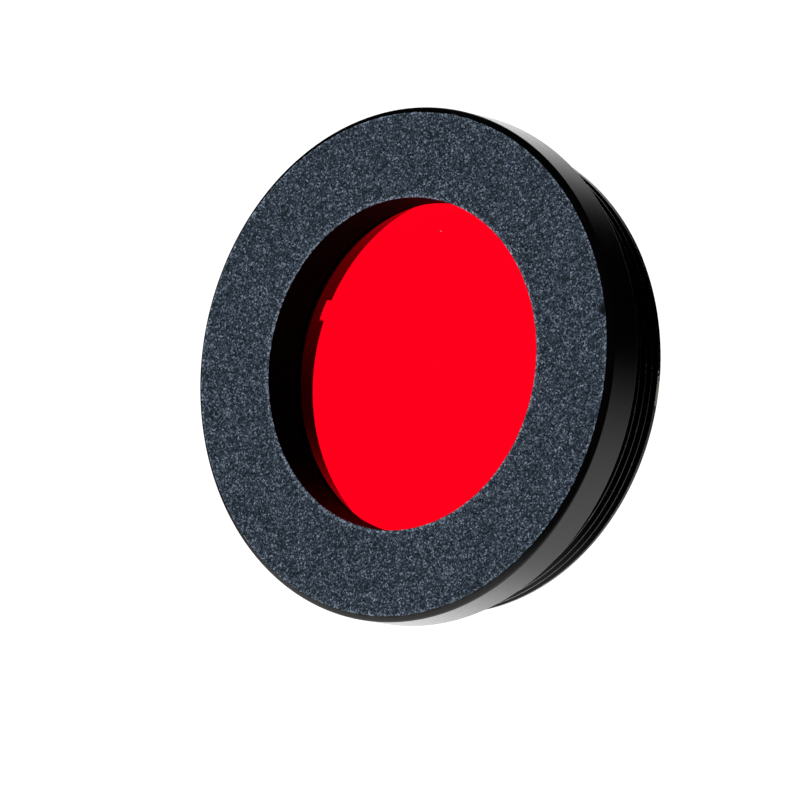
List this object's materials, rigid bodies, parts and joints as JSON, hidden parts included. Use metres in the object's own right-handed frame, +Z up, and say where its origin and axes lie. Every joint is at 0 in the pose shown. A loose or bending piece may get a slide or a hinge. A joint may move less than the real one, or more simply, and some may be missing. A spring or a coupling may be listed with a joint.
{
  "type": "telescope eyepiece filter",
  "caption": "Round red glass filter in a black threaded metal cell with a wide flat front rim, held by a slotted screw-in retaining ring at the rear.",
  "frame": {"origin": "on the optical axis, in the plane of the flange's rear face, where the filter seats on an eyepiece barrel", "axes": "+Y along the optical axis, from the wide front face towards the threaded eyepiece end; +Z up"},
  "size_m": [0.0308, 0.0065, 0.0308],
  "materials": {
    "black_anodised": "bead-blasted black anodising on the front face, semi-gloss on the rim and threads",
    "red_glass": "polished",
    "ring_anodised": "semi-gloss black anodising"
  },
  "bodies": {
    "cell": {"cell": "black_anodised"},
    "glass": {"glass_disc": "red_glass"},
    "ring": {"retaining_ring": "ring_anodised"}
  },
  "joints": [
    {"name": "glass_travel", "type": "slide", "parent": "cell", "child": "glass", "axis": [0, 1, 0], "range_m": [0, 0.00187]},
    {"name": "ring_turn", "type": "hinge", "parent": "glass", "child": "ring", "pos_m": [0, 0, 0], "axis": [0, 1, 0], "range_deg": [0, 1350]}
  ],
  "couplings": [
    {"joint": "glass_travel", "follows": "ring_turn", "m_per_rad": 0.000079577}
  ]
}
